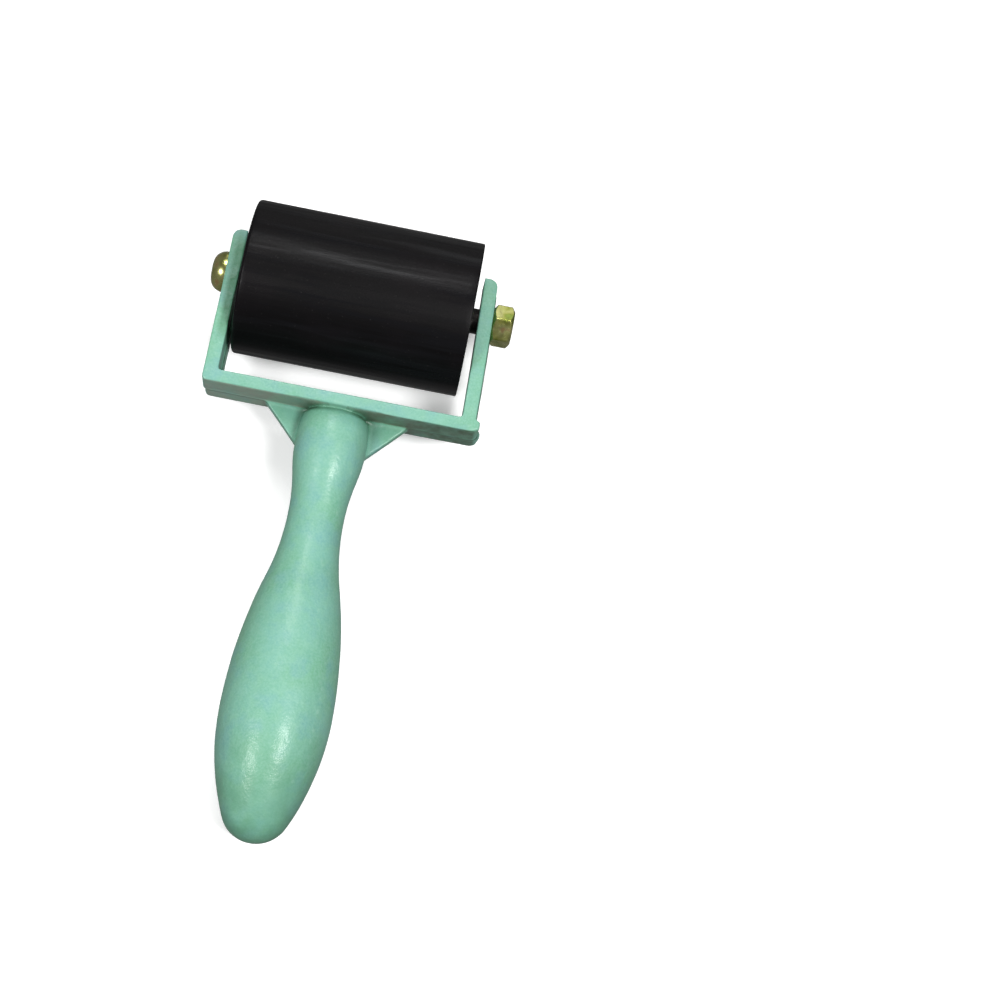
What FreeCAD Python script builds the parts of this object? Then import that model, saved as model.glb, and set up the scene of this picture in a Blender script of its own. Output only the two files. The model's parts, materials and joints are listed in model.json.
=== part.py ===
"""Rubber brayer: a rubber roller on ball bearings in a one-piece cast yoke and handle.

The tool lies at rest on its roller and on the swell of its handle.  +X runs along the
axle from the bolt's head to the nut, the handle points along -Y, and +Z is up.  The
origin is the point on the table under the axle, midway between the arms.  Sizes are
millimetres.

Each sub-part is drawn about the axle, in the tool's own level frame, and its Placement
lifts the axle to the roller's radius and dips the handle until its swell rests too.
"""
import FreeCAD
import Part
import math
import os
import re

import Sketcher
from FreeCAD import Placement, Rotation, Vector

SIZES = {
    # roller
    "roller_length": 61.0,
    "roller_offset": -0.6,
    "roller_diameter": 41.5,
    "rubber_chamfer": 0.35,
    "core_diameter": 30.0,
    "core_bore": 15.0,
    "core_recess": 0.3,
    # yoke
    "yoke_inner_width": 64.8,
    "arm_thickness": 3.7,
    "crossbar_thickness": 3.4,
    "yoke_depth": 14.5,
    "axle_to_crossbar": 29.2,
    "arm_overhang": 10.1,
    "arm_end_radius": 2.2,
    "crossbar_corner_radius": 1.2,
    "axle_hole": 6.4,
    # gussets
    "left_gusset_reach": 19.8,
    "right_gusset_reach": 18.6,
    "gusset_rise": 11.3,
    "gusset_front": -1.2,
    "gusset_thickness": 3.0,
    # neck and handle, with distances from the crossbar's outer face
    "root_radius": 7.2,
    "shoulder_along": 1.6,
    "shoulder_radius": 9.1,
    "neck_along": 10.0,
    "neck_radius": 9.35,
    "waist_along": 29.5,
    "waist_radius": 7.35,
    "waist_curve": 62.0,
    "bulb_along": 81.0,
    "bulb_radius": 14.4,
    "tip_curve": 9.0,
    "handle_length": 114.5,
    # axle
    "bolt_diameter": 6.0,
    "bolt_tip_chamfer": 0.6,
    "head_diameter": 11.0,
    "head_height": 4.0,
    "head_rounding": 3.3,
    "socket_width": 4.0,
    "socket_depth": 2.2,
    "nut_width": 10.0,
    "nut_thickness": 5.2,
    "nut_bore": 6.04,
    "tube_bore": 6.1,
    "spacer_diameter": 6.8,
    "distance_tube_diameter": 8.0,
    # ball bearings, 6 x 19 x 6
    "bearing_bore": 6.04,
    "bearing_diameter": 19.0,
    "bearing_width": 6.0,
    "bearing_inset": 0.5,
    "inner_land": 10.2,
    "outer_land": 14.8,
    "ball_diameter": 3.5,
    "ball_pitch": 12.5,
    "ball_clearance": 0.06,
    "cage_width": 4.4,
    "cage_wall": 1.0,
    "cage_pocket": 3.7,
    "shield_seat_diameter": 16.4,
    "shield_seat_depth": 0.6,
    "shield_thickness": 0.3,
    "shield_bore": 10.6,
    # how far the handle dips when the tool rests
    "rest_tilt": 3.16,
}
BALLS = 7

os.makedirs("parts", exist_ok=True)
doc = FreeCAD.newDocument("RubberBrayer")
sheet = doc.addObject("Spreadsheet::Sheet", "Sizes")
for row, (alias, number) in enumerate(SIZES.items(), start=1):
    sheet.set(f"A{row}", alias.replace("_", " "))
    sheet.set(f"B{row}", str(number))
    sheet.setAlias(f"B{row}", alias)
doc.recompute()


def with_cells(formula):
    """The formula with every alias in it turned into a reference to its cell."""
    return re.sub(r"[a-z_]+", lambda word: f"Sizes.{word[0]}" if word[0] in SIZES else word[0], formula)


def value(formula):
    """What a formula of aliases comes to."""
    return float(sheet.evalExpression(with_cells(formula)))


def bind(obj, **formulas):
    """Ties each named property of an object to its formula."""
    for name, formula in formulas.items():
        obj.setExpression(name, with_cells(formula))


# Where a sub-part goes

def rest_placement(along="0", flipped=False):
    """A sub-part's place at rest: along the axle, and turned end for end on the left side."""
    dip = Rotation(Vector(1, 0, 0), value("rest_tilt"))
    axle = Placement(Vector(0, 0, value("roller_diameter / 2")), dip)
    side = Placement(Vector(), Rotation(Vector(0, 0, 1), 180 if flipped else 0))
    return axle * side * Placement(Vector(value(along), 0, 0), Rotation())


def roller_placement(along, flipped=False):
    """The same, measured from the middle of the roller, which sits nearer to the bolt's head."""
    return rest_placement(f"{along} {'-' if flipped else '+'} roller_offset", flipped)


# Sketches

def new_body(label):
    body = doc.addObject("PartDesign::Body", label)
    body.Label = label
    return body


def new_sketch(body, plane, name):
    """A sketch on one of the body's own origin planes."""
    sketch = body.newObject("Sketcher::SketchObject", f"{body.Label}_{name}")
    origin_plane = next(f for f in body.Origin.OriginFeatures if f.Role == plane)
    sketch.AttachmentSupport = (origin_plane, [""])
    sketch.MapMode = "FlatFace"
    return sketch


def pin(sketch, geometry, point, across, up):
    """Holds a point of the sketch at the distances that two formulas give."""
    for kind, formula, axis in (("DistanceX", across, -2), ("DistanceY", up, -1)):
        if formula == "0":
            sketch.addConstraint(Sketcher.Constraint("PointOnObject", geometry, point, axis))
        else:
            distance = Sketcher.Constraint(kind, -1, 1, geometry, point, value(formula))
            index = sketch.addConstraint(distance)
            bind(sketch, **{f"Constraints[{index}]": formula})


def add_outline(sketch, corners):
    """A closed run of straight lines whose corners are pairs of formulas."""
    points = [Vector(value(across), value(up), 0) for across, up in corners]
    count = len(corners)
    lines = [sketch.addGeometry(Part.LineSegment(points[i], points[(i + 1) % count])) for i in range(count)]
    for i, line in enumerate(lines):
        sketch.addConstraint(Sketcher.Constraint("Coincident", line, 2, lines[(i + 1) % count], 1))
        pin(sketch, line, 1, *corners[i])
    return lines


def add_circle(sketch, across, up, radius):
    centre = Vector(value(across), value(up), 0)
    circle = sketch.addGeometry(Part.Circle(centre, Vector(0, 0, 1), value(radius)))
    index = sketch.addConstraint(Sketcher.Constraint("Radius", circle, value(radius)))
    bind(sketch, **{f"Constraints[{index}]": radius})
    if across == "0" and up == "0":
        sketch.addConstraint(Sketcher.Constraint("Coincident", circle, 3, -1, 1))
    else:
        pin(sketch, circle, 3, across, up)


def add_arc(sketch, centre, start, end):
    """An anticlockwise arc from start to end."""
    first = math.atan2(start.y - centre.y, start.x - centre.x)
    last = math.atan2(end.y - centre.y, end.x - centre.x)
    if last < first:
        last += 2 * math.pi
    circle = Part.Circle(centre, Vector(0, 0, 1), start.distanceToPoint(centre))
    return sketch.addGeometry(Part.ArcOfCircle(circle, first, last))


# Features

def pad(body, sketch, length, symmetric=False):
    feature = body.newObject("PartDesign::Pad", f"{sketch.Name}_pad")
    feature.Profile = sketch
    feature.SideType = "Symmetric" if symmetric else "One side"
    bind(feature, Length=length)
    doc.recompute()
    return feature


def pocket(body, sketch, depth):
    """Cuts into the body along the sketch's own normal, or through both ways with no depth."""
    feature = body.newObject("PartDesign::Pocket", f"{sketch.Name}_pocket")
    feature.Profile = sketch
    if depth:
        feature.Reversed = True
        bind(feature, Length=depth)
    else:
        feature.SideType = "Symmetric"
        feature.Type = "ThroughAll"
    doc.recompute()
    return feature


def revolve(body, sketch, kind="Revolution", axis="H_Axis"):
    feature = body.newObject(f"PartDesign::{kind}", f"{sketch.Name}_turned")
    feature.Profile = sketch
    feature.ReferenceAxis = (sketch, [axis])
    feature.Angle = 360
    doc.recompute()
    return feature


def edges_at(feature, across, up):
    """Names of the feature's edges that rise along Z from a point of the XY plane."""
    def stands_there(edge):
        points = [v.Point for v in edge.Vertexes]
        return len(points) == 2 and all(math.hypot(p.x - across, p.y - up) < 0.01 for p in points)
    return [f"Edge{i}" for i, edge in enumerate(feature.Shape.Edges, start=1) if stands_there(edge)]


def fillet(body, feature, edges, radius):
    rounding = body.newObject("PartDesign::Fillet", f"{body.Label}_{radius}")
    rounding.Base = (feature, edges)
    bind(rounding, Radius=radius)
    doc.recompute()
    return rounding


def turned(label, *outlines):
    """A body turned on the axle, from outlines of (distance along, radius) formulas."""
    body = new_body(label)
    sketch = new_sketch(body, "XY_Plane", "outline")
    for corners in outlines:
        add_outline(sketch, corners)
    revolve(body, sketch)
    return body


def tube(label, length, bore, outside):
    near, far = f"{bore} / 2", f"{outside} / 2"
    return turned(label, [("0", near), (length, near), (length, far), ("0", far)])


# The casting: yoke, gussets, neck and handle

OUTER_FACE = "(axle_to_crossbar + crossbar_thickness)"
INNER_HALF = "yoke_inner_width / 2"
OUTER_HALF = "(yoke_inner_width / 2 + arm_thickness)"


def add_yoke(body):
    sketch = new_sketch(body, "XY_Plane", "yoke")
    right = [
        (INNER_HALF, "-axle_to_crossbar"),
        (INNER_HALF, "arm_overhang"),
        (OUTER_HALF, "arm_overhang"),
        (OUTER_HALF, f"-{OUTER_FACE}"),
    ]
    left = [(f"-{across}", up) for across, up in reversed(right)]
    add_outline(sketch, right + left)
    yoke = pad(body, sketch, "yoke_depth", symmetric=True)
    half = value(OUTER_HALF)
    ends = [name for side in (-half, half) for name in edges_at(yoke, side, value("arm_overhang"))]
    yoke = fillet(body, yoke, ends, "arm_end_radius")
    corners = [name for side in (-half, half) for name in edges_at(yoke, side, -value(OUTER_FACE))]
    fillet(body, yoke, corners, "crossbar_corner_radius")


def add_gussets(body):
    """One plate behind the mould's parting plane."""
    sketch = new_sketch(body, "XY_Plane", "gussets")
    sketch.setExpression(".AttachmentOffset.Base.z", with_cells("gusset_front"))
    inside, outside = f"-({OUTER_FACE} - crossbar_thickness / 2)", f"-{OUTER_FACE}"
    foot = f"-({OUTER_FACE} + gusset_rise)"
    add_outline(sketch, [
        ("right_gusset_reach", inside), ("right_gusset_reach", outside), ("(neck_radius - 1)", foot),
        ("-(neck_radius - 1)", foot), ("-left_gusset_reach", outside), ("-left_gusset_reach", inside),
    ])
    plate = pad(body, sketch, "gusset_thickness")
    plate.Reversed = True
    doc.recompute()


def handle_arcs():
    """Centre and two ends of each arc of the handle's outline, from the neck to the tip.

    The outline has level tangents at the neck, waist and bulb, so each arc's centre lies
    straight above or below one of them, and neighbours meet on the line between centres.
    """
    def joined(near, far, radius, sign):
        step = far - near
        return near + step * (sign * radius / step.Length)

    neck = Vector(value("neck_along"), value("neck_radius"), 0)
    waist = Vector(value("waist_along"), value("waist_radius"), 0)
    bulb = Vector(value("bulb_along"), value("bulb_radius"), 0)
    tip = Vector(value("handle_length"), 0, 0)
    waist_curve = value("waist_curve")
    tip_curve = value("tip_curve")

    neck_curve = (neck - waist).Length ** 2 / (2 * (neck.y - waist.y)) - waist_curve
    front_curve = (bulb - waist).Length ** 2 / (2 * (bulb.y - waist.y)) - waist_curve
    back_curve = ((tip - bulb).Length ** 2 - 2 * (tip.x - bulb.x) * tip_curve) / (2 * (bulb.y - tip_curve))

    neck_centre = neck - Vector(0, neck_curve, 0)
    waist_centre = waist + Vector(0, waist_curve, 0)
    front_centre = bulb - Vector(0, front_curve, 0)
    back_centre = bulb - Vector(0, back_curve, 0)
    tip_centre = tip - Vector(tip_curve, 0, 0)

    to_waist = joined(neck_centre, waist_centre, neck_curve, 1)
    to_bulb = joined(front_centre, waist_centre, front_curve, 1)
    to_tip = joined(back_centre, tip_centre, back_curve, 1)
    return [
        (neck_centre, to_waist, neck),
        (waist_centre, to_waist, to_bulb),
        (front_centre, bulb, to_bulb),
        (back_centre, to_tip, bulb),
        (tip_centre, tip, to_tip),
    ]


def add_handle(body):
    """The neck and handle, turned about Y; the outline's arcs are tangent to each other."""
    face = value(OUTER_FACE)
    root_depth = value("crossbar_thickness / 2")

    def drawn(point):
        return Vector(point.y, -(face + point.x), 0)

    sketch = new_sketch(body, "XY_Plane", "handle")
    arcs = handle_arcs()
    neck, waist, front, back, tip = [add_arc(sketch, *map(drawn, points)) for points in arcs]
    root = value("root_radius")
    run = [
        Vector(value("neck_along"), value("neck_radius"), 0),
        Vector(value("shoulder_along"), value("shoulder_radius"), 0),
        Vector(0, root, 0),
        Vector(-root_depth, root, 0),
        Vector(-root_depth, 0, 0),
        Vector(value("handle_length"), 0, 0),
    ]
    lines = [
        sketch.addGeometry(Part.LineSegment(drawn(start), drawn(end)))
        for start, end in zip(run, run[1:])
    ]
    for first, first_end, second, second_end in (
        (neck, 1, waist, 1), (waist, 2, front, 2), (front, 1, back, 2), (back, 1, tip, 2),
    ):
        sketch.addConstraint(Sketcher.Constraint("Tangent", first, first_end, second, second_end))
    for line, following in zip(lines, lines[1:]):
        sketch.addConstraint(Sketcher.Constraint("Coincident", line, 2, following, 1))
    sketch.addConstraint(Sketcher.Constraint("Coincident", neck, 2, lines[0], 1))
    sketch.addConstraint(Sketcher.Constraint("Coincident", lines[-1], 2, tip, 1))

    def hold(kind, geometry, point, formula):
        here = sketch.getPoint(geometry, point)
        distance = here.x if kind == "DistanceX" else here.y
        index = sketch.addConstraint(Sketcher.Constraint(kind, -1, 1, geometry, point, distance))
        bind(sketch, **{f"Constraints[{index}]": formula})

    for arc, along in (
        (neck, "neck_along"), (waist, "waist_along"), (front, "bulb_along"), (back, "bulb_along"),
    ):
        hold("DistanceY", arc, 3, f"-({OUTER_FACE} + {along})")
    hold("DistanceX", front, 1, "bulb_radius")
    hold("DistanceX", waist, 3, "waist_radius + waist_curve")
    hold("DistanceX", lines[0], 1, "neck_radius")
    hold("DistanceY", lines[0], 1, f"-({OUTER_FACE} + neck_along)")
    for line, radius, along in (
        (lines[1], "shoulder_radius", "(axle_to_crossbar + crossbar_thickness + shoulder_along)"),
        (lines[2], "root_radius", OUTER_FACE),
        (lines[3], "root_radius", "(axle_to_crossbar + crossbar_thickness / 2)"),
    ):
        hold("DistanceX", line, 1, radius)
        hold("DistanceY", line, 1, f"-{along}")
    hold("DistanceY", lines[4], 1, "-(axle_to_crossbar + crossbar_thickness / 2)")
    hold("DistanceY", tip, 1, f"-({OUTER_FACE} + handle_length)")
    for geometry, point in ((lines[4], 1), (tip, 1), (tip, 3)):
        sketch.addConstraint(Sketcher.Constraint("PointOnObject", geometry, point, -2))
    for arc, radius in ((waist, "waist_curve"), (tip, "tip_curve")):
        index = sketch.addConstraint(Sketcher.Constraint("Radius", arc, value(radius)))
        bind(sketch, **{f"Constraints[{index}]": radius})
    revolve(body, sketch, axis="V_Axis")


def frame_casting():
    body = new_body("frame_casting")
    add_yoke(body)
    add_gussets(body)
    add_handle(body)
    holes = new_sketch(body, "YZ_Plane", "axle_hole")
    add_circle(holes, "0", "0", "axle_hole / 2")
    pocket(body, holes, None)
    body.Placement = rest_placement()
    return body


# The axle: bolt, nut and the tubes on it

def hexagon(width):
    """Corners of a hexagon of that width across flats, with a corner straight up."""
    tall, low, flat = f"{width} / sqrt(3)", f"{width} / sqrt(12)", f"{width} / 2"
    return [
        ("0", tall), (flat, low), (flat, f"-{low}"),
        ("0", f"-{tall}"), (f"-{flat}", f"-{low}"), (f"-{flat}", low),
    ]


def axle_bolt():
    """Drawn from the top of its head; it runs through both arms and fills the nut."""
    shank, head = "bolt_diameter / 2", "head_diameter / 2"
    tip = f"(head_height + 2 * {OUTER_HALF} + nut_thickness)"
    body = turned("axle_bolt", [
        ("0", "0"), ("0", head), ("head_height", head), ("head_height", shank),
        (f"{tip} - bolt_tip_chamfer", shank), (tip, f"{shank} - bolt_tip_chamfer"), (tip, "0"),
    ])
    head_radius = value(head)

    def on_rim(edge):
        whole = len(edge.Vertexes) == 1
        return whole and abs(edge.Curve.Radius - head_radius) < 0.01 and edge.CenterOfMass.x < 0.01

    rim = [f"Edge{i}" for i, edge in enumerate(body.Tip.Shape.Edges, start=1) if on_rim(edge)]
    fillet(body, body.Tip, rim, "head_rounding")
    socket = new_sketch(body, "YZ_Plane", "socket")
    add_outline(socket, hexagon("socket_width"))
    pocket(body, socket, "socket_depth")
    body.Placement = rest_placement(f"-({OUTER_HALF} + head_height)")
    return body


def axle_nut():
    body = new_body("axle_nut")
    blank = new_sketch(body, "YZ_Plane", "blank")
    add_outline(blank, hexagon("nut_width"))
    add_circle(blank, "0", "0", "nut_bore / 2")
    pad(body, blank, "nut_thickness")
    chamfers = new_sketch(body, "XY_Plane", "chamfers")
    low, high, deep = "0.47 * nut_width", "0.65 * nut_width", "0.1 * nut_width"
    add_outline(chamfers, [("0", low), ("0", high), (deep, high)])
    add_outline(chamfers, [
        ("nut_thickness", low), ("nut_thickness", high), (f"nut_thickness - {deep}", high),
    ])
    revolve(body, chamfers, kind="Groove")
    body.Placement = rest_placement(OUTER_HALF)
    return body


def spacer(side, flipped):
    gap = f"(yoke_inner_width - roller_length) / 2 {'+' if flipped else '-'} roller_offset"
    body = tube(f"{side}_spacer", f"{gap} + bearing_inset", "tube_bore", "spacer_diameter")
    body.Placement = roller_placement("roller_length / 2 - bearing_inset", flipped)
    return body


def distance_tube():
    length = "(roller_length - 2 * bearing_inset - 2 * bearing_width)"
    body = tube("distance_tube", length, "tube_bore", "distance_tube_diameter")
    body.Placement = roller_placement(f"-{length} / 2")
    return body


# The roller: rubber and core

def rubber_sleeve():
    near, far, trimmed = "core_diameter / 2", "roller_diameter / 2", "roller_diameter / 2 - rubber_chamfer"
    body = turned("rubber_sleeve", [
        ("0", near), ("roller_length", near), ("roller_length", trimmed),
        ("roller_length - rubber_chamfer", far), ("rubber_chamfer", far), ("0", trimmed),
    ])
    body.Placement = roller_placement("-roller_length / 2")
    return body


def roller_core():
    """A turned core with a stepped bore: a bearing seat at each end and shoulders behind them."""
    length = "roller_length - 2 * core_recess"
    seat = "(bearing_inset + bearing_width - core_recess)"
    outside, wide, narrow = "core_diameter / 2", "bearing_diameter / 2", "core_bore / 2"
    body = turned("roller_core", [
        ("0", outside), ("0", wide), (seat, wide), (seat, narrow),
        (f"{length} - {seat}", narrow), (f"{length} - {seat}", wide), (length, wide), (length, outside),
    ])
    body.Placement = roller_placement("-roller_length / 2 + core_recess")
    return body


# The ball bearings: each is drawn from its inboard face outwards

BEARING_AT = "roller_length / 2 - bearing_inset - bearing_width"


def cut_race(body):
    sketch = new_sketch(body, "XY_Plane", "race")
    add_circle(sketch, "bearing_width / 2", "ball_pitch / 2", "ball_diameter / 2 + ball_clearance")
    revolve(body, sketch, kind="Groove")


def inner_ring(side, flipped):
    body = tube(f"{side}_bearing_inner_ring", "bearing_width", "bearing_bore", "inner_land")
    cut_race(body)
    body.Placement = roller_placement(BEARING_AT, flipped)
    return body


def outer_ring(side, flipped):
    outside, land, seat = "bearing_diameter / 2", "outer_land / 2", "shield_seat_diameter / 2"
    far = "bearing_width - shield_seat_depth"
    body = turned(f"{side}_bearing_outer_ring", [
        ("0", outside), ("0", seat), ("shield_seat_depth", seat), ("shield_seat_depth", land),
        (far, land), (far, seat), ("bearing_width", seat), ("bearing_width", outside),
    ])
    cut_race(body)
    body.Placement = roller_placement(BEARING_AT, flipped)
    return body


def shield(side, flipped, end, along):
    body = tube(f"{side}_bearing_{end}_shield", "shield_thickness", "shield_bore", "shield_seat_diameter")
    body.Placement = roller_placement(f"{BEARING_AT} + {along}", flipped)
    return body


def cage(side, flipped):
    body = tube(f"{side}_bearing_cage", "cage_width", "(ball_pitch - cage_wall)", "(ball_pitch + cage_wall)")
    sketch = new_sketch(body, "XY_Plane", "pocket")
    add_circle(sketch, "cage_width / 2", "0", "cage_pocket / 2")
    first = pocket(body, sketch, "ball_pitch")
    pattern = body.newObject("PartDesign::PolarPattern", f"{body.Label}_pockets")
    pattern.Originals = [first]
    pattern.Axis = (next(f for f in body.Origin.OriginFeatures if f.Role == "X_Axis"), [""])
    pattern.Angle = 360
    pattern.Occurrences = BALLS
    body.Tip = pattern
    doc.recompute()
    body.Placement = roller_placement(f"{BEARING_AT} + (bearing_width - cage_width) / 2", flipped)
    return body


def balls(side, flipped):
    """The balls are loose solids of one node, since they travel together."""
    group = doc.addObject("Part::Compound", f"{side}_bearing_balls")
    group.Label = f"{side}_bearing_balls"
    spheres = []
    for number in range(BALLS):
        ball = doc.addObject("Part::Sphere", f"{side}_ball_{number + 1}")
        bind(ball, Radius="ball_diameter / 2")
        turn = Rotation(Vector(1, 0, 0), number * 360 / BALLS)
        centre = Vector(value("bearing_width / 2"), 0, value("ball_pitch / 2"))
        ball.Placement = Placement(turn.multVec(centre), turn)
        spheres.append(ball)
    group.Links = spheres
    doc.recompute()
    group.Placement = roller_placement(BEARING_AT, flipped)
    return group


def bearing(side, flipped):
    return [
        inner_ring(side, flipped),
        outer_ring(side, flipped),
        cage(side, flipped),
        balls(side, flipped),
        shield(side, flipped, "inboard", "shield_seat_depth - shield_thickness"),
        shield(side, flipped, "outboard", "bearing_width - shield_seat_depth"),
    ]


subparts = [frame_casting(), axle_bolt(), axle_nut(), distance_tube(), rubber_sleeve(), roller_core()]
for side, flipped in (("left", True), ("right", False)):
    subparts.append(spacer(side, flipped))
    subparts += bearing(side, flipped)
doc.recompute()

for item in doc.Objects:
    assert not {"Invalid", "Error"} & set(item.State), f"{item.Label}: {item.State}"
for subpart in subparts:
    assert not subpart.Shape.isNull() and subpart.Shape.isValid(), subpart.Label
    subpart.Shape.exportStep(f"parts/{subpart.Label}.step")
    print(f"{subpart.Label:32s} {subpart.Shape.Volume:10.1f} mm3")
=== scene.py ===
"""The looks of a rubber brayer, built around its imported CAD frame.  Units are metres.

The casting, the rubber, the bolt, the nut, the spacers, the core and the bearings' rings
and shields are remade here with the soft edges, parting line, threads, races and chamfers
of the real pieces; the balls, cages and distance tube keep their CAD meshes.  Round pieces
are drawn about the axle in the tool's level frame, with the handle along -Y, and are then
tilted into the frame's rest position.
"""
import json
import math

import bmesh
import bpy
import numpy as np
from mathutils import Matrix, Vector, noise


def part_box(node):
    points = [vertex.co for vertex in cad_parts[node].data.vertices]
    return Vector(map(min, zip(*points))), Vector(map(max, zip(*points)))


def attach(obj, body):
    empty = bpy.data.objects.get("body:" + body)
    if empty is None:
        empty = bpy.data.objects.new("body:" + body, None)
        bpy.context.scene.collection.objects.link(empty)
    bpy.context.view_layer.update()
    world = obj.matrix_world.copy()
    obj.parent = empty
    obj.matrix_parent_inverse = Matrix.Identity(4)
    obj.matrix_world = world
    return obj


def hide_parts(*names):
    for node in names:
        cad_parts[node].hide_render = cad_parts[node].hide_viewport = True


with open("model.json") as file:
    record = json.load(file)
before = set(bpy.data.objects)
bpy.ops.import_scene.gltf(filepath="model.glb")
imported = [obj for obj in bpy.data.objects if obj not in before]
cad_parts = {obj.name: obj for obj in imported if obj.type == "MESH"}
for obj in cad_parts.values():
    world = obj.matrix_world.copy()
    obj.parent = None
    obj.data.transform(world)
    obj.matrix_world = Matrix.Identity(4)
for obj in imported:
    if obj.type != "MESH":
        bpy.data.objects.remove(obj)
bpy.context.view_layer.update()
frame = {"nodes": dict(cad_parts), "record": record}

MM = 0.001


# The tool's level frame

def mount(name):
    return next(m for m in frame["record"]["mounts"] if m["name"] == name)


def half_size(node, axis):
    low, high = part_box(node)
    return (high[axis] - low[axis]) / 2


X, Y, Z = range(3)
sleeve_low, sleeve_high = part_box("rubber_sleeve")
AXLE = Vector((0, (sleeve_low.y + sleeve_high.y) / 2, (sleeve_low.z + sleeve_high.z) / 2))
TOWARDS_ROLLER = Vector(mount("hanging_face")["axis"])
REST_TILT = math.atan2(TOWARDS_ROLLER.z, TOWARDS_ROLLER.y)
TO_ROW = Matrix.Translation(AXLE) @ Matrix.Rotation(REST_TILT, 4, "X")
ROLLER_RADIUS = half_size("rubber_sleeve", Z)
CORE_RADIUS = half_size("roller_core", Z)
ARM_OUTSIDE = half_size("frame_casting", X)
ARM_INSIDE = -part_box("left_spacer")[0].x
ARM_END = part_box("frame_casting")[1].y / math.cos(REST_TILT) - 0.3 * MM
HANDLE_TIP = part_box("frame_casting")[0].y
CROSSBAR_INSIDE = (Vector(mount("hanging_face")["pos_m"]) - AXLE).length
CROSSBAR_OUTSIDE = CROSSBAR_INSIDE + 3.4 * MM
NECK_RADIUS = 9.35 * MM
NECK_DOME = 8 * MM
ROOT_HEIGHT = 6.2 * MM
ROOT_NARROWING = 0.46
ROOT_REACH = 12 * MM
ROOT_PASSES = 10
WEB_MIDDLE = 14 * MM
VOXEL = 0.4 * MM
SOFTENING_PASSES = 5
PARTING_LEVEL = -1.2 * MM
PARTING_RIDGE = 0.16 * MM
PARTING_WIDTH = 0.3 * MM
MOULD_SHIFT = 0.45 * MM
GATE_STUB = 1.1 * MM
ARM_LEAN = 0.9 * MM
YOKE_MARGIN = 19.2 * MM
NUT_SEATING = 0.45 * MM
WAVES = ((11 * MM, 0.07 * MM), (3.2 * MM, 0.025 * MM))


# Meshes

def new_object(name, mesh):
    obj = bpy.data.objects.new(name, mesh)
    bpy.context.scene.collection.objects.link(obj)
    return obj


def hexagon(width, rounding=0.985):
    """Radius by angle of a hexagon with a corner straight up, its corners a little rounded."""
    def radius(angle):
        off_flat = (angle % (math.pi / 3)) - math.pi / 6
        return min(width / 2 / math.cos(off_flat), rounding * width / math.sqrt(3))
    return radius


def lathe(name, rings, segments=192, closed=True, sway=None):
    """A piece turned about the axle from rings of (distance along, radius or radius by angle).

    Angle 0 is straight up.  sway, if given, adds to the radius by (distance along, angle).
    """
    mesh = bmesh.new()
    loops = []
    for along, radius in rings:
        if radius == 0:
            loops.append([mesh.verts.new((along, 0, 0))])
            continue
        loop = []
        for i in range(segments):
            angle = 2 * math.pi * i / segments
            reach = radius(angle) if callable(radius) else radius
            reach += sway(along, angle) if sway else 0
            loop.append(mesh.verts.new((along, -reach * math.sin(angle), reach * math.cos(angle))))
        loops.append(loop)
    pairs = list(zip(loops, loops[1:]))
    if closed:
        pairs.append((loops[-1], loops[0]))
    for near, far in pairs:
        for i in range(segments):
            j = (i + 1) % segments
            ring = [near[i % len(near)], near[j % len(near)], far[j % len(far)], far[i % len(far)]]
            corners = list(dict.fromkeys(ring))
            if len(corners) > 2:
                mesh.faces.new(corners)
    bmesh.ops.recalc_face_normals(mesh, faces=mesh.faces)
    data = bpy.data.meshes.new(name)
    mesh.to_mesh(data)
    mesh.free()
    data.transform(TO_ROW)
    obj = new_object(name, data)
    smooth(obj, 32)
    return obj


def smooth(obj, sharp_from_degrees):
    obj.data.shade_smooth()
    obj.data.set_sharp_from_angle(angle=math.radians(sharp_from_degrees))


def rounded(corner, towards, back, radius, steps=5):
    """Points round a corner of a profile, where its two straight runs are square to each other."""
    centre = [corner[i] + (towards[i] + back[i]) * radius for i in (0, 1)]
    points = []
    for i in range(steps + 1):
        angle = math.pi / 2 * i / steps
        points.append([
            centre[i] - radius * (towards[i] * math.sin(angle) + back[i] * math.cos(angle)) for i in (0, 1)
        ])
    return points


def along_run(start, end, steps):
    return [start + (end - start) * i / steps for i in range(steps + 1)]


# Materials

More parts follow.
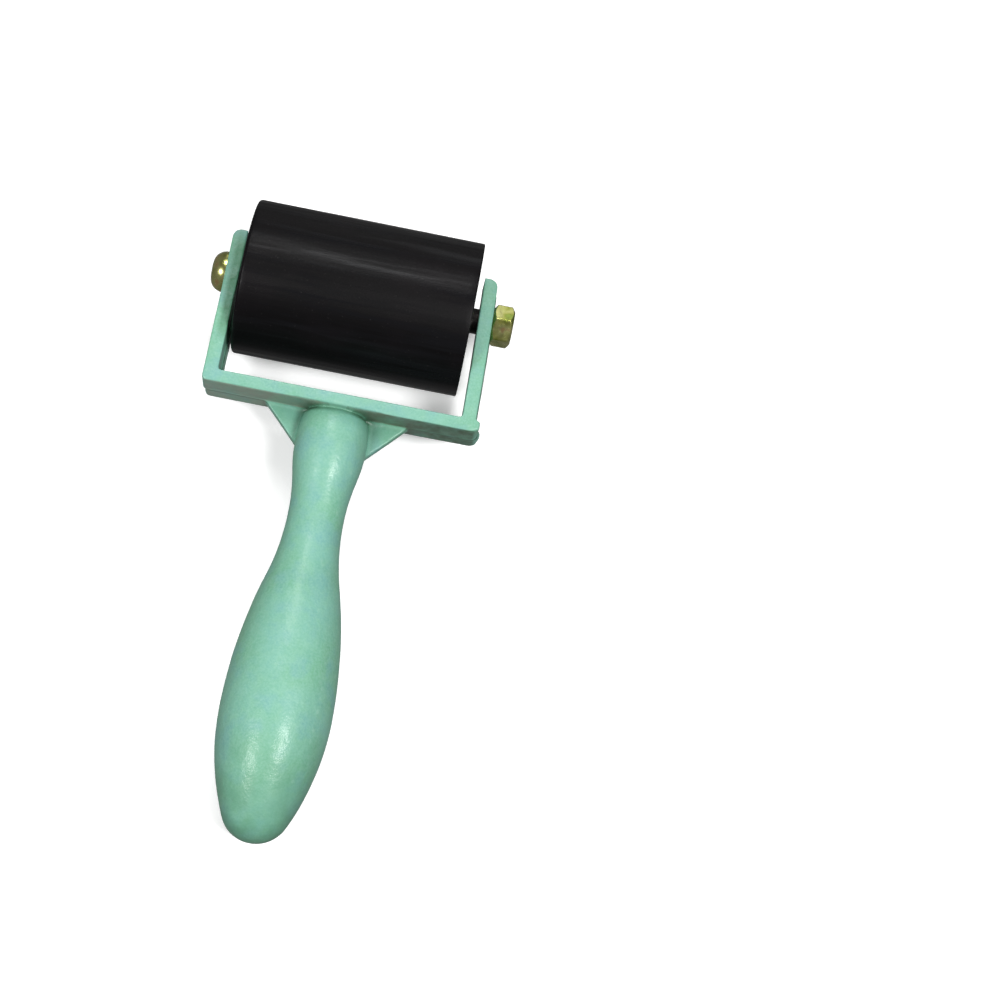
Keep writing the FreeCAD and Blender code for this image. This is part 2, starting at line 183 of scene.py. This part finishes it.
class Surface:
    """A Principled material whose colour, roughness and relief come from nodes."""

    def __init__(self, name, **constants):
        self.material = bpy.data.materials.new(name)
        self.material.use_nodes = True
        self.tree = self.material.node_tree
        self.shader = self.tree.nodes["Principled BSDF"]
        for socket, number in constants.items():
            self.shader.inputs[socket.replace("_", " ")].default_value = number
        self.place = self.add("ShaderNodeTexCoord").outputs["Object"]

    def add(self, kind, inputs=None, **settings):
        node = self.tree.nodes.new(kind)
        for key, setting in settings.items():
            setattr(node, key, setting)
        for key, value in (inputs or {}).items():
            self.feed(node.inputs[key], value)
        return node

    def feed(self, socket, value):
        if isinstance(value, bpy.types.NodeSocket):
            self.tree.links.new(value, socket)
        else:
            socket.default_value = value

    def noise(self, size, detail=3.0, roughness=0.55, stretch=None):
        """Noise with features about size metres across, drawn out along an axis by stretch."""
        place = self.place
        if stretch:
            place = self.add("ShaderNodeMapping", {"Vector": place, "Scale": stretch}).outputs["Vector"]
        inputs = {"Vector": place, "Scale": 1 / size, "Detail": detail, "Roughness": roughness}
        return self.add("ShaderNodeTexNoise", inputs).outputs["Fac"]

    def remap(self, value, low, high, to_low=0.0, to_high=1.0):
        inputs = {"Value": value, "From Min": low, "From Max": high, "To Min": to_low, "To Max": to_high}
        return self.add("ShaderNodeMapRange", inputs).outputs["Result"]

    def maths(self, operation, first, second=0.0):
        return self.add("ShaderNodeMath", {0: first, 1: second}, operation=operation).outputs["Value"]

    def vectors(self, operation, first, second):
        return self.add("ShaderNodeVectorMath", {0: first, 1: second}, operation=operation).outputs

    def normal(self):
        return self.add("ShaderNodeNewGeometry").outputs["Normal"]

    def mix(self, share, first, second):
        node = self.add("ShaderNodeMix", data_type="RGBA")
        colours = [socket for socket in node.inputs if socket.type == "RGBA"]
        self.feed(node.inputs[0], share)
        self.feed(colours[0], first)
        self.feed(colours[1], second)
        return next(socket for socket in node.outputs if socket.type == "RGBA")

    def edges(self, low, high):
        """1 on outside edges and 0 on flats and inside corners."""
        pointiness = self.add("ShaderNodeNewGeometry").outputs["Pointiness"]
        return self.remap(pointiness, low, high)

    def corner_shade(self, reach, open_to, shut_to):
        """How much shade to paint: 1 deep in the piece's own corners, fading to 0 about reach metres out of
        them.
        """
        node = self.add("ShaderNodeAmbientOcclusion", {"Distance": reach}, only_local=True, samples=6)
        return self.remap(node.outputs["AO"], open_to, shut_to)

    def level(self, vector, direction):
        """How far a vector reaches in a direction given in the tool's level frame."""
        return self.vectors("DOT_PRODUCT", vector, TO_ROW.to_3x3() @ Vector(direction))["Value"]

    def from_axle(self):
        return self.vectors("SUBTRACT", self.place, AXLE)["Vector"]

    def across(self):
        """How far across the tool from its middle, the nut's side positive."""
        return self.level(self.from_axle(), (1, 0, 0))

    def along(self):
        """How far along the tool from the axle, the roller's side positive."""
        return self.level(self.from_axle(), (0, 1, 0))

    def within(self, value, middle, near, far):
        """1 where the value is nearer than near to middle, fading to 0 at far."""
        return self.remap(self.maths("ABSOLUTE", self.maths("SUBTRACT", value, middle)), near, far, 1, 0)

    def towards_tip(self):
        """0 up to the handle's swell, rising to 1 at its tip."""
        return self.remap(self.along(), HANDLE_TIP + 30 * MM, HANDLE_TIP + 4 * MM)

    def parting_line(self):
        """1 on the mould's parting line round the yoke, and 0 away from it."""
        facing = self.level(self.normal(), (0, 0, 1))
        upright = self.remap(self.maths("ABSOLUTE", facing), 0.5, 0.8, 1, 0)
        near = self.within(self.level(self.from_axle(), (0, 0, 1)), PARTING_LEVEL, 0.12 * MM, 0.34 * MM)
        on_yoke = self.remap(self.along(), -44 * MM, -38 * MM)
        return self.maths("MULTIPLY", self.maths("MULTIPLY", near, upright), on_yoke)

    def crossbar_back(self):
        """1 on the crossbar's face towards the handle."""
        near = self.within(self.along(), -CROSSBAR_OUTSIDE, 0.2 * MM, 0.5 * MM)
        facing = self.remap(self.level(self.normal(), (0, -1, 0)), 0.75, 0.95)
        return self.maths("MULTIPLY", near, facing)

    def neck_root(self):
        """1 on the neck's rounded end at the crossbar, fading out along the neck."""
        by_crossbar = self.remap(self.along(), -CROSSBAR_OUTSIDE - 5.5 * MM, -CROSSBAR_OUTSIDE - 1 * MM)
        behind = self.remap(self.along(), -CROSSBAR_OUTSIDE, -CROSSBAR_OUTSIDE - 0.3 * MM)
        on_neck = self.remap(self.maths("ABSOLUTE", self.across()), 8.5 * MM, 10 * MM, 1, 0)
        return self.maths("MULTIPLY", self.maths("MULTIPLY", by_crossbar, behind), on_neck)

    def beside_roller(self):
        """1 on the left arm's inner edge where the roller runs close to it."""
        inner_edge = self.within(self.across(), -ARM_INSIDE, 1.7 * MM, 2.9 * MM)
        by_roller = self.within(self.along(), -6 * MM, 10 * MM, 16 * MM)
        return self.maths("MULTIPLY", inner_edge, by_roller)

    def relief(self, height, depth, base=None):
        inputs = {"Height": height, "Distance": depth, "Strength": 1.0}
        if base:
            inputs["Normal"] = base
        return self.add("ShaderNodeBump", inputs).outputs["Normal"]

    def finish(self, colour, roughness, normal):
        self.feed(self.shader.inputs["Base Color"], colour)
        self.feed(self.shader.inputs["Roughness"], roughness)
        self.feed(self.shader.inputs["Normal"], normal)
        return self.material


def rgb(red, green, blue):
    """A linear colour from the 0 to 255 numbers of a colour picker."""
    def linear(part):
        part /= 255
        return part / 12.92 if part <= 0.04045 else ((part + 0.055) / 1.055) ** 2.4
    return (linear(red), linear(green), linear(blue), 1.0)


def mint_enamel():
    """Enamel on a sand casting: mottled and grainy, lighter on its edges, with painted shade in its corners
    and hollows.
    """
    look = Surface("mint_enamel", Coat_Weight=0.16, Coat_Roughness=0.18, Specular_IOR_Level=0.35)
    blotches = look.remap(look.noise(15 * MM, 2), 0.35, 0.65)
    mottle = look.remap(look.noise(2.4 * MM, 4, 0.65), 0.35, 0.68)
    grain = look.remap(look.noise(0.55 * MM, 2), 0.3, 0.7)
    colour = look.mix(blotches, rgb(98, 155, 126), rgb(108, 162, 148))
    colour = look.mix(look.maths("MULTIPLY", mottle, 0.45), colour, rgb(118, 168, 138))
    blue_cast = look.remap(look.noise(7 * MM, 3), 0.50, 0.68, 0, 0.5)
    colour = look.mix(blue_cast, colour, rgb(101, 151, 156))
    colour = look.mix(look.maths("MULTIPLY", grain, 0.5), colour, rgb(130, 178, 160))
    # Painted shade: darker green towards the handle's tip, in patches.
    patchy_tip_shade = look.remap(look.noise(8 * MM, 4), 0.3, 0.6, 0.3, 0.8)
    colour = look.mix(look.maths("MULTIPLY", look.towards_tip(), patchy_tip_shade), colour, rgb(78, 128, 100))
    # Lighter colour along the outside edges, in patches.
    worn = look.maths("MULTIPLY", look.edges(0.53, 0.60), look.remap(mottle, 0.1, 0.9, 0.3, 0.9))
    colour = look.mix(look.maths("MULTIPLY", worn, 0.35), colour, rgb(146, 188, 172))
    # Painted shade: darker green in the casting's corners.
    colour = look.mix(look.corner_shade(8 * MM, 0.95, 0.35), colour, rgb(78, 130, 108))
    # Painted shade and light on the crossbar's face towards the handle: dark green towards the nut's end,
    # pale grey towards the head's end, in patches.
    back_face_patches = look.remap(look.noise(5 * MM, 4, 0.6), 0.35, 0.62, 0.45, 1.0)
    towards_nut = look.remap(look.across(), -25 * MM, 25 * MM)
    back_face_light_and_shade = look.mix(towards_nut, rgb(150, 150, 136), rgb(62, 78, 56))
    share = look.maths("MULTIPLY", back_face_patches, look.remap(towards_nut, 0, 1, 0.65, 0.95))
    colour = look.mix(look.maths("MULTIPLY", look.crossbar_back(), share), colour, back_face_light_and_shade)
    # Painted shade: darker green on the neck's rounded end by the crossbar, in patches.
    root_shade = look.maths("MULTIPLY", look.neck_root(), look.remap(mottle, 0, 1, 0.45, 0.75))
    colour = look.mix(root_shade, colour, rgb(72, 128, 100))
    # Painted shade: darker green on the left arm's inner edge beside the roller, in patches.
    roller_side_shade = look.maths("MULTIPLY", look.beside_roller(), look.remap(mottle, 0, 1, 0.6, 0.95))
    colour = look.mix(roller_side_shade, colour, rgb(60, 112, 80))
    # Painted shade: darker still right in the casting's corners, in patches.
    patchy_shade_in_corners = look.remap(look.noise(3 * MM, 4), 0.3, 0.6, 0.45, 1.0)
    colour = look.mix(look.maths("MULTIPLY", look.corner_shade(3 * MM, 0.8, 0.3), patchy_shade_in_corners), colour, rgb(50, 78, 56))
    broken = look.remap(look.noise(2 * MM, 3), 0.3, 0.6, 0.35, 0.85)
    colour = look.mix(look.maths("MULTIPLY", look.parting_line(), broken), colour, rgb(58, 84, 66))
    roughness = look.remap(look.noise(4 * MM, 3), 0.3, 0.7, 0.36, 0.52)
    coarse = look.relief(look.noise(5 * MM, 2), 0.22 * MM)
    peel = look.relief(look.noise(1.2 * MM, 2), 0.05 * MM, coarse)
    skin = look.relief(grain, 0.02 * MM, peel)
    look.feed(look.shader.inputs["Coat Normal"], skin)
    return look.finish(colour, roughness, skin)


def black_rubber():
    """Ground rubber: satin, with faint streaks along the roller and a little dust."""
    look = Surface("black_rubber", Specular_IOR_Level=0.10)
    streaks = look.noise(2.5 * MM, 4, 0.6, stretch=(0.06, 1, 1))
    clouds = look.noise(16 * MM, 3)
    colour = look.mix(look.remap(streaks, 0.45, 0.62), rgb(7, 6, 7), rgb(14, 14, 16))
    colour = look.mix(look.remap(clouds, 0.5, 0.75, 0, 0.5), colour, rgb(17, 13, 16))
    dust = look.remap(look.noise(0.5 * MM, 2), 0.70, 0.78, 0, 0.35)
    colour = look.mix(dust, colour, rgb(72, 70, 69))
    colour = look.mix(look.edges(0.56, 0.66), colour, rgb(46, 45, 45))
    roughness = look.remap(streaks, 0.42, 0.64, 0.42, 0.24)
    ground = look.relief(look.noise(0.35 * MM, 3), 0.03 * MM)
    return look.finish(colour, roughness, look.relief(streaks, 0.03 * MM, ground))


def yellow_zinc():
    """Yellow passivated zinc: olive gold, with patches that turn orange, rose and green."""
    look = Surface("yellow_zinc", Metallic=1.0)
    drift = look.noise(4 * MM, 2, 0.5)
    fine = look.noise(1.6 * MM, 3)
    colour = look.mix(look.remap(drift, 0.35, 0.65), rgb(152, 156, 70), rgb(204, 204, 140))
    colour = look.mix(look.remap(drift, 0.60, 0.72, 0, 0.7), colour, rgb(206, 146, 104))
    colour = look.mix(look.remap(drift, 0.40, 0.30, 0, 0.6), colour, rgb(128, 156, 74))
    colour = look.mix(look.remap(fine, 0.55, 0.8, 0, 0.4), colour, rgb(120, 112, 62))
    colour = look.mix(look.edges(0.53, 0.62), colour, rgb(226, 218, 170))
    roughness = look.remap(fine, 0.3, 0.7, 0.16, 0.32)
    return look.finish(colour, roughness, look.relief(look.noise(0.9 * MM, 2), 0.012 * MM))


def turned_steel(name, dark, light, ring_pitch, roughness_range, metallic=1.0):
    """Bare steel with the fine rings that a lathe tool leaves about the axle."""
    look = Surface(name, Metallic=metallic)
    to_axle = look.add("ShaderNodeMapping", {"Vector": look.place, "Location": (0, 0, -AXLE.z)})
    scale = 1 / ring_pitch / 3
    inputs = {"Vector": to_axle.outputs["Vector"], "Scale": scale, "Distortion": 0.6, "Detail": 2}
    rings = look.add("ShaderNodeTexWave", inputs, wave_type="RINGS", rings_direction="X").outputs["Fac"]
    stains = look.noise(3 * MM, 4, 0.6)
    colour = look.mix(look.remap(stains, 0.35, 0.7), dark, light)
    rust = look.maths("MULTIPLY", look.remap(look.noise(1.3 * MM, 4, 0.65), 0.60, 0.72, 0, 0.35), metallic)
    colour = look.mix(rust, colour, rgb(96, 78, 62))
    low, high = roughness_range
    roughness = look.remap(stains, 0.3, 0.7, low, high)
    return look.finish(colour, roughness, look.relief(rings, 0.012 * MM, look.relief(stains, 0.02 * MM)))


def floor_paper():
    look = Surface("floor_paper", Specular_IOR_Level=0.1, Emission_Color=(1, 1, 1, 1), Emission_Strength=0.25)
    fibres = look.noise(1.5 * MM, 4)
    colour = look.mix(look.remap(look.noise(0.2, 2), 0.3, 0.7), rgb(246, 246, 245), rgb(248, 248, 248))
    return look.finish(colour, look.remap(fibres, 0.3, 0.7, 0.85, 0.95), look.relief(fibres, 0.01 * MM))


# The pieces

def remeshed(mesh, voxel):
    """The mesh rebuilt in even small faces."""
    obj = new_object("casting_source", mesh)
    remesh = obj.modifiers.new("even", "REMESH")
    remesh.mode = "VOXEL"
    remesh.voxel_size = voxel
    evening = obj.modifiers.new("soften", "SMOOTH")
    evening.factor = 0.5
    evening.iterations = SOFTENING_PASSES
    even = bpy.data.meshes.new_from_object(obj.evaluated_get(bpy.context.evaluated_depsgraph_get()))
    bpy.data.objects.remove(obj)
    return even


def positions_and_normals(mesh):
    count = len(mesh.vertices)
    places, normals = np.empty(count * 3, np.float32), np.empty(count * 3, np.float32)
    mesh.vertices.foreach_get("co", places)
    mesh.vertex_normals.foreach_get("vector", normals)
    return places.reshape(-1, 3).astype(float), normals.reshape(-1, 3).astype(float)


def soften(mesh, indices, passes):
    """Draws the given vertices towards their neighbours, as paint fills a corner."""
    work = bmesh.new()
    work.from_mesh(mesh)
    work.verts.ensure_lookup_table()
    chosen = [work.verts[i] for i in indices]
    axes = {"use_axis_x": True, "use_axis_y": True, "use_axis_z": True}
    for _ in range(passes):
        bmesh.ops.smooth_vert(work, verts=chosen, factor=0.5, **axes)
    work.to_mesh(mesh)
    work.free()


def ramp(values, start, length):
    """0 up to start, rising to 1 over length."""
    return np.clip((values - start) / length, 0, 1)


def round_neck_root(places):
    """Narrows the neck to a rounded end where it meets the crossbar."""
    off_middle = np.abs(places[:, X])
    from_crossbar = ramp(-places[:, Y], CROSSBAR_OUTSIDE, NECK_DOME)
    roof = ROOT_HEIGHT + (NECK_RADIUS - ROOT_HEIGHT) * np.sqrt(1 - (1 - from_crossbar) ** 2)
    squeeze = np.minimum(roof / NECK_RADIUS, 1) - 1
    squeeze *= ramp(-places[:, Y], CROSSBAR_OUTSIDE, 0.3 * MM)
    on_neck = ramp(-off_middle, -NECK_RADIUS - 0.6 * MM, MM)
    by_neck = ramp(-off_middle, -WEB_MIDDLE, WEB_MIDDLE - NECK_RADIUS)
    places[:, Z] *= 1 + squeeze * on_neck
    places[:, X] *= 1 + squeeze * by_neck * ROOT_NARROWING


def show_casting_marks(places, normals):
    """Parting line, shifted mould half, uneven skin, remnant of the gate and leaning arm."""
    across, along, deep = places.T.copy()
    deep -= PARTING_LEVEL
    upright = 1 - np.abs(normals[:, Z])
    on_yoke = ramp(along, -CROSSBAR_INSIDE - YOKE_MARGIN, 12 * MM)
    outward = PARTING_RIDGE * (0.2 + 0.8 * on_yoke) * upright * np.exp(-(deep / PARTING_WIDTH) ** 2)
    for length, depth in WAVES:
        outward += [depth * noise.noise(Vector(place / length)) for place in places]
    places += normals * outward[:, None]

    behind = ramp(-deep, -PARTING_WIDTH, 2 * PARTING_WIDTH)
    places[:, X] += MOULD_SHIFT * behind * on_yoke
    at_gate = ramp(-along, CROSSBAR_INSIDE, 0.5 * MM) * ramp(across, ARM_OUTSIDE - MM, MM)
    uneven = np.array([1 + 0.5 * noise.noise(Vector(place) / (4 * MM)) for place in places])
    places[:, X] += GATE_STUB * at_gate * uneven
    up_arm = np.clip((along + CROSSBAR_INSIDE) / (ARM_END + CROSSBAR_INSIDE), 0, 1.1) ** 1.5
    places[:, X] -= ARM_LEAN * up_arm * (across > 0)


def cast_frame():
    """Yoke, gussets, neck and handle, with the soft edges and parting line of a painted casting."""
    source = frame["nodes"]["frame_casting"].data.copy()
    source.transform(TO_ROW.inverted())
    mesh = remeshed(source, VOXEL)
    mesh.name = "cast_frame"
    places, normals = positions_and_normals(mesh)
    round_neck_root(places)
    across, beyond = np.abs(places[:, X]), -CROSSBAR_OUTSIDE - places[:, Y]
    root = (across < ROOT_REACH) & (beyond > -0.3 * MM) & (beyond < 2 * MM)
    show_casting_marks(places, normals)
    mesh.vertices.foreach_set("co", places.ravel())
    soften(mesh, np.flatnonzero(root), ROOT_PASSES)
    mesh.transform(TO_ROW)
    places, _ = positions_and_normals(mesh)
    table_level = 0
    places[:, Z] = np.maximum(places[:, Z], table_level)
    mesh.vertices.foreach_set("co", places.ravel())
    mesh.update()
    mesh.shade_smooth()
    return new_object("cast_frame", mesh)


def rubber_cover():
    left, right, inside, outside = sleeve_low.x, sleeve_high.x, CORE_RADIUS, ROLLER_RADIUS
    profile = [(left, inside), (left, inside + 1.5 * MM)]
    profile += rounded((left, outside), (0, -1), (1, 0), 0.9 * MM)
    profile += [(along, outside) for along in along_run(left + 2 * MM, right - 2 * MM, 40)]
    profile += reversed(rounded((right, outside), (0, -1), (-1, 0), 0.4 * MM))
    profile += [(right, inside + 1.5 * MM), (right, inside)]

    def worn(along, angle):
        around = Vector((along / (9 * MM), 3 * math.cos(angle), 3 * math.sin(angle)))
        return -0.02 * MM * abs(noise.noise(around))
    return lathe("rubber_cover", profile, sway=worn)


HEAD_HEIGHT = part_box("frame_casting")[0].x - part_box("axle_bolt")[0].x
THREAD_PITCH = 1.0 * MM
THREAD_DEPTH = 0.3 * MM


def thread(along, angle):
    """A screw thread's depth below its crest."""
    turn = (along / THREAD_PITCH - angle / (2 * math.pi)) % 1
    return -THREAD_DEPTH * abs(2 * turn - 1)


def bolt():
    """Domed head with a hexagon socket, plain shank, and a thread where the nut sits."""
    low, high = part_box("axle_bolt")
    shank = half_size("distance_tube", Z) - 1 * MM
    head = half_size("axle_bolt", Z)
    seat = low.x + HEAD_HEIGHT
    dome = HEAD_HEIGHT - 0.45 * MM
    crown = 2.2 * MM
    rim_break = 0.12 * MM
    socket, socket_floor = hexagon(4 * MM), low.x + 2.2 * MM
    rings = [(socket_floor, 0), (socket_floor, socket), (low.x + 0.25 * MM, socket)]
    rings += [(low.x + 0.06 * MM, lambda angle: socket(angle) + 0.22 * MM), (low.x, crown)]
    for turn in along_run(0, math.pi / 2, 14)[1:]:
        rings.append((low.x + dome * (1 - math.cos(turn)), crown + (head - crown) * math.sin(turn)))
    rings += [(seat - rim_break, head), (seat, head - rim_break), (seat, shank)]
    threaded_from = high.x - 14 * MM
    rings += [(threaded_from, shank)]
    chamfer = 0.6 * MM
    rings_per_turn = 12
    thread_rings = round(rings_per_turn * (high.x - threaded_from) / THREAD_PITCH)
    for along in along_run(threaded_from, high.x, thread_rings):
        limit = shank - max(0, along - (high.x - chamfer))

        def crest(angle, along=along, limit=limit):
            return min(shank + thread(along, angle), limit)
        rings.append((along, crest))
    rings.append((high.x, 0))
    return lathe("axle_bolt_turned", rings, segments=96, closed=False)


def nut():
    """Chamfered on both faces, and seated against the arm where it leans in."""
    low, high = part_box("axle_nut")
    across, bore, lead_in = 10 * MM, 3 * MM, 0.4 * MM
    corner = hexagon(across)
    seat = low.x - NUT_SEATING
    slope = math.tan(math.radians(35))
    steps = along_run(0, 1.17 * MM, 13)

    def cone(depth):
        return lambda angle: min(corner(angle), 0.44 * across + depth / slope)
    rings = [(seat + lead_in, bore), (seat, bore + lead_in)]
    rings += [(seat + depth, cone(depth)) for depth in steps]
    rings += [(high.x - depth, cone(depth)) for depth in reversed(steps)]
    rings += [(high.x, bore + lead_in), (high.x - lead_in, bore)]
    return lathe("axle_nut_faced", rings, segments=240)


def spacer(side):
    low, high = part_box(f"{side}_spacer")
    outside, inside, bevel = half_size(f"{side}_spacer", Z), 3.05 * MM, 0.15 * MM
    rings = [(low.x, inside), (low.x, outside - bevel), (low.x + bevel, outside)]
    rings += [(high.x - bevel, outside), (high.x, outside - bevel), (high.x, inside)]
    return lathe(f"{side}_spacer_turned", rings, segments=96)


def core():
    """A bar bored for a bearing at each end, its edges broken by a chamfer."""
    low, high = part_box("roller_core")
    outside, bore, edge = CORE_RADIUS, 7.5 * MM, 0.35 * MM
    seat = half_size("left_bearing_outer_ring", Z)
    seat_depth = high.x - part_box("right_bearing_outer_ring")[0].x
    rings = [(low.x, seat + edge), (low.x, outside - edge), (low.x + edge, outside)]
    rings += [(high.x - edge, outside), (high.x, outside - edge), (high.x, seat + edge)]
    rings += [(high.x - edge, seat), (high.x - seat_depth, seat), (high.x - seat_depth, bore)]
    rings += [(low.x + seat_depth, bore), (low.x + seat_depth, seat), (low.x + edge, seat)]
    return lathe("roller_core_turned", rings)


BALL_CIRCLE = 6.25 * MM
GROOVE_RADIUS = 1.81 * MM


def race(node, inwards):
    """Points of the groove that the balls run in, from one side of a ring to the other."""
    low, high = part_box(node)
    middle = (low.x + high.x) / 2
    return [
        (middle - GROOVE_RADIUS * math.cos(angle), BALL_CIRCLE - inwards * GROOVE_RADIUS * math.sin(angle))
        for angle in along_run(math.radians(40), math.radians(140), 10)
    ]


def outer_ring(side):
    node = f"{side}_bearing_outer_ring"
    low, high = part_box(node)
    outside, land, seat = half_size(node, Z), 7.4 * MM, 8.2 * MM
    recess, edge = 0.6 * MM, 0.35 * MM
    rings = [(low.x, seat), (low.x, outside - edge), (low.x + edge, outside), (high.x - edge, outside)]
    rings += [(high.x, outside - edge), (high.x, seat), (high.x - recess, seat), (high.x - recess, land)]
    rings += reversed(race(node, -1))
    rings += [(low.x + recess, land), (low.x + recess, seat)]
    return lathe(f"{node}_ground", rings)


def inner_ring(side):
    node = f"{side}_bearing_inner_ring"
    low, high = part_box(node)
    outside, bore, edge = half_size(node, Z), 3.02 * MM, 0.3 * MM
    rings = [(low.x + edge, bore), (low.x, bore + edge), (low.x, outside)]
    rings += race(node, 1)
    rings += [(high.x, outside), (high.x, bore + edge), (high.x - edge, bore)]
    return lathe(f"{node}_ground", rings)


def shield(side, end):
    """A pressed washer, dished between its rim and its bore."""
    node = f"{side}_bearing_{end}_shield"
    low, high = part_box(node)
    rim, bore = half_size(node, Z), 5.3 * MM
    outwards = 1 if (side == "right") == (end == "outboard") else -1
    face, back = (high.x, low.x) if outwards > 0 else (low.x, high.x)
    sunk, deburred = face - 0.1 * MM * outwards, face - 0.06 * MM * outwards
    rings = [(back, bore), (deburred, bore), (face, bore + 0.08 * MM), (face, 5.9 * MM)]
    rings += [(sunk, 6.1 * MM), (sunk, 7.3 * MM), (face, 7.5 * MM)]
    rings += [(face, rim - 0.1 * MM), (sunk, rim), (back, rim)]
    return lathe(f"{node}_pressed", rings)


def dress(piece, body, slot_name, material, *nodes):
    piece.data.materials.clear()
    piece.data.materials.append(material)
    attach(piece, body)
    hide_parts(*nodes)


enamel = mint_enamel()
rubber = black_rubber()
zinc = yellow_zinc()
blackened = turned_steel("blackened_steel", rgb(26, 25, 25), rgb(52, 50, 48), 0.25 * MM, (0.35, 0.5), 0.8)
bare_steels = {
    slot: turned_steel(slot, rgb(*dark), rgb(*light), ring_pitch, roughness_range)
    for slot, dark, light, ring_pitch, roughness_range in (
        ("core_steel", (120, 118, 114), (168, 166, 162), 0.3 * MM, (0.28, 0.45)),
        ("spacer_steel", (130, 130, 130), (170, 170, 168), 0.4 * MM, (0.25, 0.4)),
        ("bearing_steel", (176, 176, 178), (206, 206, 208), 0.15 * MM, (0.10, 0.2)),
        ("cage_steel", (150, 144, 130), (182, 176, 164), 0.3 * MM, (0.25, 0.4)),
        ("shield_steel", (134, 134, 138), (172, 172, 176), 0.2 * MM, (0.2, 0.32)),
    )
}

dress(cast_frame(), "frame", "mint_enamel", enamel, "frame_casting")
dress(rubber_cover(), "roller", "black_rubber", rubber, "rubber_sleeve")
dress(bolt(), "frame", "yellow_zinc", zinc, "axle_bolt")
dress(nut(), "frame", "yellow_zinc", zinc, "axle_nut")
dress(core(), "roller", "core_steel", bare_steels["core_steel"], "roller_core")
for side in ("left", "right"):
    dress(spacer(side), "frame", "blackened_steel", blackened, f"{side}_spacer")
    bearing, ground = f"{side}_bearing", bare_steels["bearing_steel"]
    dress(inner_ring(side), "frame", "bearing_steel", ground, f"{bearing}_inner_ring")
    dress(outer_ring(side), "roller", "bearing_steel", ground, f"{bearing}_outer_ring")
    for end in ("inboard", "outboard"):
        pressed = shield(side, end)
        dress(pressed, "roller", "shield_steel", bare_steels["shield_steel"], f"{bearing}_{end}_shield")
for part in frame["record"]["subparts"]:
    if part["material_slot"] in bare_steels:
        node = frame["nodes"][part["node"]]
        node.data.materials.clear()
        node.data.materials.append(bare_steels[part["material_slot"]])


# Floor, light and camera

def floor():
    """A pale paper sweep that the tool lies on: flat under it and curving up all round, far off.

    It glows weakly and gives the tool no light, so undersides stay as dark as in the photo.
    """
    flat, curve, height, sides = 1.0, 1.6, 2.4, 64
    angles = along_run(0, 2 * math.pi, sides)[:-1]
    round_about = [Vector((math.cos(angle), math.sin(angle), 0)) for angle in angles]
    mesh = bmesh.new()
    loops = []
    for turn in along_run(0, math.pi / 2, 24):
        reach, rise = flat + curve * math.sin(turn), Vector((0, 0, height * (1 - math.cos(turn))))
        loops.append([mesh.verts.new(outwards * reach + rise) for outwards in round_about])
    mesh.faces.new(loops[0])
    for near, far in zip(loops, loops[1:]):
        for j in range(sides):
            mesh.faces.new((near[j], near[(j + 1) % sides], far[(j + 1) % sides], far[j]))
    bmesh.ops.recalc_face_normals(mesh, faces=mesh.faces)
    data = bpy.data.meshes.new("floor")
    mesh.to_mesh(data)
    mesh.free()
    data.materials.append(floor_paper())
    sheet = new_object("floor", data)
    sheet.visible_diffuse = False
    sheet.visible_glossy = False
    sheet.visible_shadow = False


def area_light(name, place, target, size, watts):
    light = bpy.data.lights.new(name, "AREA")
    light.shape = "SQUARE"
    light.size = size
    light.energy = watts
    lamp = new_object(name, light)
    lamp.location = place
    lamp.rotation_euler = (target - place).to_track_quat("-Z", "Y").to_euler()
    lamp.visible_camera = False


def sky(strength):
    world = bpy.data.worlds.new("studio")
    world.use_nodes = True
    background = world.node_tree.nodes["Background"]
    background.inputs["Color"].default_value = (1.0, 1.0, 1.0, 1.0)
    background.inputs["Strength"].default_value = strength
    bpy.context.scene.world = world


def camera():
    """Looks down on the tool from the handle's side, turned so that the handle points down."""
    azimuth, elevation, roll = math.radians(8.0), math.radians(71.4), math.radians(18.6)
    target = AXLE + Vector((46.5, -48.4, 0)) * MM
    distance = 579 * MM
    data = bpy.data.cameras.new("camera")
    data.sensor_width = 36
    data.lens = 79.6
    data.clip_start = 0.01
    view = Vector((math.sin(azimuth), math.cos(azimuth), -math.tan(elevation))).normalized()
    lens = new_object("camera", data)
    turn = view.to_track_quat("-Z", "Y").to_matrix().to_4x4() @ Matrix.Rotation(roll, 4, "Z")
    lens.matrix_world = Matrix.Translation(target - view * distance) @ turn
    bpy.context.scene.camera = lens


floor()
middle = AXLE + Vector((0, -50 * MM, 0))
to_camera = Vector((-0.04, -0.32, 0.95))
image_right = Vector((0.98, 0.17, 0.10))
image_up = Vector((-0.19, 0.93, 0.30))


def soft_box(name, sideways_degrees, upwards_degrees, distance, size, watts):
    """A soft box placed by its angles from the camera's own direction."""
    side, rise = math.radians(sideways_degrees), math.radians(upwards_degrees)
    aim = to_camera * math.cos(side) * math.cos(rise)
    aim += image_right * math.sin(side) + image_up * math.sin(rise)
    area_light(name, middle + aim.normalized() * distance, middle, size, watts)


soft_box("right_key", 28, -2, 1.5, 0.42, 19)
soft_box("left_key", -30, 0, 1.5, 0.42, 13)
soft_box("window", 4, 50, 1.5, 0.50, 7.5)
soft_box("low_window", 12, 96, 1.5, 0.60, 1.2)
sky(0.22)
camera()
bpy.context.scene.view_settings.view_transform = "Standard"
